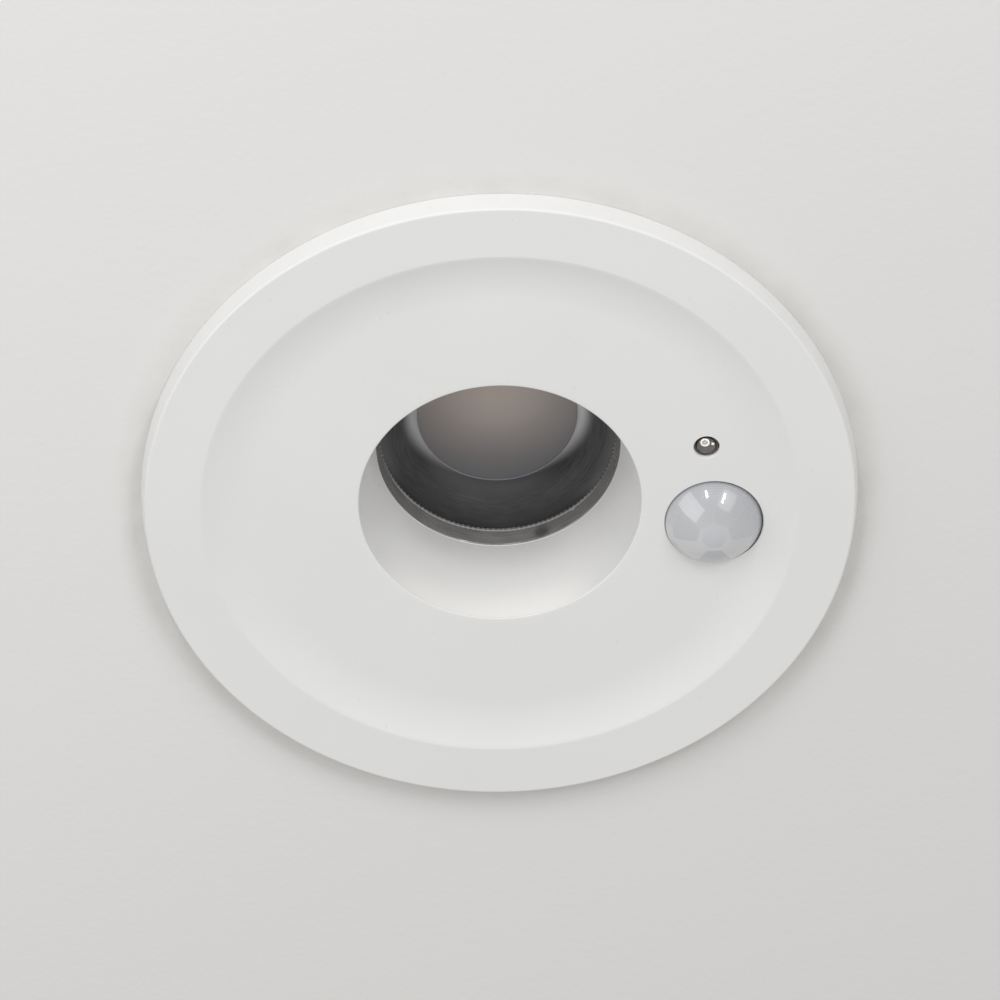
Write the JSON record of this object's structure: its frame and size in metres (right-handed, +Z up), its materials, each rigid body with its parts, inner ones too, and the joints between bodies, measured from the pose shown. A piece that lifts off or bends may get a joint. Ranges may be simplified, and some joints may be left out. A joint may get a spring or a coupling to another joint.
{
  "type": "recessed downlight",
  "caption": "Recessed ceiling downlight with motion and light sensors, deep baffle, finned heat sink, spring clips and driver box.",
  "frame": {"origin": "centre of the collar on the ceiling plane, which the back of the flange touches", "axes": "+Z up into the ceiling, +X through the motion sensor, +Y and -Y through the spring clips"},
  "size_m": [0.11, 0.13, 0.0754],
  "materials": {
    "white_body": "white matt powder coat",
    "foam": "black closed-cell foam",
    "dome": "white milky polyethylene",
    "can": "nickel-plated steel",
    "filter": "dark coated window",
    "clear": "clear moulded epoxy",
    "tinned": "tinned metal",
    "black_plastic": "black moulded plastic",
    "white_plastic": "white moulded plastic",
    "board": "green circuit board",
    "chip": "black moulded packages",
    "steel": "zinc-plated steel",
    "lead": "coloured lead insulation",
    "dark_ring": "dark ribbed plastic",
    "reflector": "dark mirror coating",
    "frosted": "frosted sheet",
    "phosphor": "yellow phosphor",
    "white_board": "white solder mask on aluminium",
    "pad": "grey thermal pad",
    "cast": "die-cast aluminium",
    "seal": "grey silicone",
    "spring": "spring steel",
    "case": "light grey moulded plastic",
    "ferrite": "sintered ferrite",
    "winding": "yellow tape over the winding",
    "blue_sleeve": "printed film sleeve left bare",
    "yellow_box": "yellow moulded box",
    "varistor": "blue epoxy coat",
    "dial": "orange moulded plastic",
    "brass": "machined brass"
  },
  "bodies": {
    "housing": {"bezel": "white_body", "ceiling_gasket": "foam", "pir_lens": "dome", "pir_detector": "can", "pir_window": "filter", "light_sensor": "clear", "light_sensor_leads": "tinned", "light_sensor_sleeve": "black_plastic", "sensor_tray": "white_plastic", "sensor_board": "board", "sensor_board_parts": "chip", "sensor_socket": "white_plastic", "sensor_board_screws": "steel", "sensor_lead": "lead", "lens_ring": "dark_ring", "reflector": "reflector", "diffuser": "frosted", "led_spacer": "white_plastic", "led_emitter": "phosphor", "led_board": "white_board", "led_board_screws": "steel", "thermal_pad": "pad", "led_leads": "lead", "heat_sink": "cast", "body_seal": "seal", "bezel_screws": "steel", "clip_bracket_screws": "steel", "driver_case": "case", "driver_cover": "case", "driver_screws": "steel", "cover_screws": "steel", "driver_board": "board", "driver_board_screws": "steel", "transformer_core": "ferrite", "transformer_coil": "winding", "bulk_capacitors": "blue_sleeve", "x_capacitor": "yellow_box", "line_inductor": "ferrite", "fuse": "white_plastic", "varistor": "varistor", "driver_board_parts": "chip", "dial_potentiometers": "blue_sleeve", "terminal_block": "white_plastic", "terminal_clamps": "brass", "terminal_screws": "steel", "cable_grommets": "foam", "lid_pin": "steel", "right_clip_bracket": "steel", "right_clip_pin": "steel", "right_clip_spring": "spring", "left_clip_bracket": "steel", "left_clip_pin": "steel", "left_clip_spring": "spring"},
    "right_clip": {"right_clip_arm": "steel", "right_clip_pad": "foam"},
    "left_clip": {"left_clip_arm": "steel", "left_clip_pad": "foam"},
    "lid": {"terminal_lid": "case"},
    "time_knob": {"time_dial": "dial"},
    "lux_knob": {"lux_dial": "dial"}
  },
  "joints": [
    {"name": "right_clip_hinge", "type": "hinge", "parent": "housing", "child": "right_clip", "pos_m": [0, 0.041, 0.0225], "axis": [1, 0, 0], "range_deg": [0, 123], "stiffness_Nm_per_rad": 0.1, "springref_deg": -85.94, "deforming": ["right_clip_spring"]},
    {"name": "left_clip_hinge", "type": "hinge", "parent": "housing", "child": "left_clip", "pos_m": [0, -0.041, 0.0225], "axis": [-1, 0, 0], "range_deg": [0, 123], "stiffness_Nm_per_rad": 0.1, "springref_deg": -85.94, "deforming": ["left_clip_spring"]},
    {"name": "lid_hinge", "type": "hinge", "parent": "housing", "child": "lid", "pos_m": [0.0186, 0, 0.0673], "axis": [0, -1, 0], "range_deg": [0, 110]},
    {"name": "time_dial_turn", "type": "hinge", "parent": "housing", "child": "time_knob", "pos_m": [-0.01201, -0.0196, 0.0654], "axis": [0, 0, 1], "range_deg": [-135, 135]},
    {"name": "lux_dial_turn", "type": "hinge", "parent": "housing", "child": "lux_knob", "pos_m": [0.00198, -0.0196, 0.0654], "axis": [0, 0, 1], "range_deg": [-135, 135]}
  ]
}
